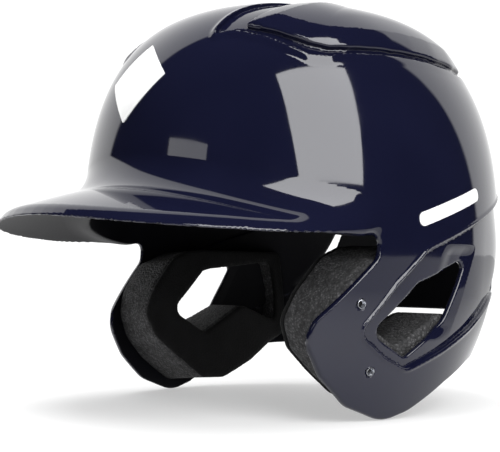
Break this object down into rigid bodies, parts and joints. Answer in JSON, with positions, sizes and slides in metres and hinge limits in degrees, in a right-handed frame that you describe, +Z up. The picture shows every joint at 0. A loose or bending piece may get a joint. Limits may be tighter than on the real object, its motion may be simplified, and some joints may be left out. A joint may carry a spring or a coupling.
{
  "type": "batting helmet",
  "caption": "Two-flap batting helmet: glossy moulded shell with brim and raised crown panel, foam liner, thick jaw pads and threaded jaw-guard inserts.",
  "frame": {"origin": "centre of the bounding box in X and Y, at the bottom of the ear flaps", "axes": "+Z up, wearer faces -Y, wearer's left is +X, the helmet is symmetric about the X = 0 plane"},
  "size_m": [0.2128, 0.274, 0.2083],
  "materials": {
    "shell_plastic": "high gloss navy",
    "liner_foam": "closed-cell foam, dark grey",
    "comfort_foam": "soft black padding",
    "insert_steel": "plated",
    "marking_white": "satin applied film"
  },
  "bodies": {
    "root": {"shell": "shell_plastic", "front_pad": "liner_foam", "front_comfort": "comfort_foam", "crown_pad": "liner_foam", "crown_comfort": "comfort_foam", "side_pad_left": "liner_foam", "side_pad_right": "liner_foam", "side_comfort_left": "comfort_foam", "side_comfort_right": "comfort_foam", "rear_pad": "liner_foam", "rear_comfort": "comfort_foam", "jaw_pad_left": "liner_foam", "jaw_pad_right": "liner_foam", "jaw_facing_left": "comfort_foam", "jaw_facing_right": "comfort_foam", "insert_left_upper": "insert_steel", "insert_left_lower": "insert_steel", "insert_right_upper": "insert_steel", "insert_right_lower": "insert_steel", "front_marking": "marking_white", "side_marking_left": "marking_white", "side_marking_right": "marking_white"}
  },
  "joints": []
}
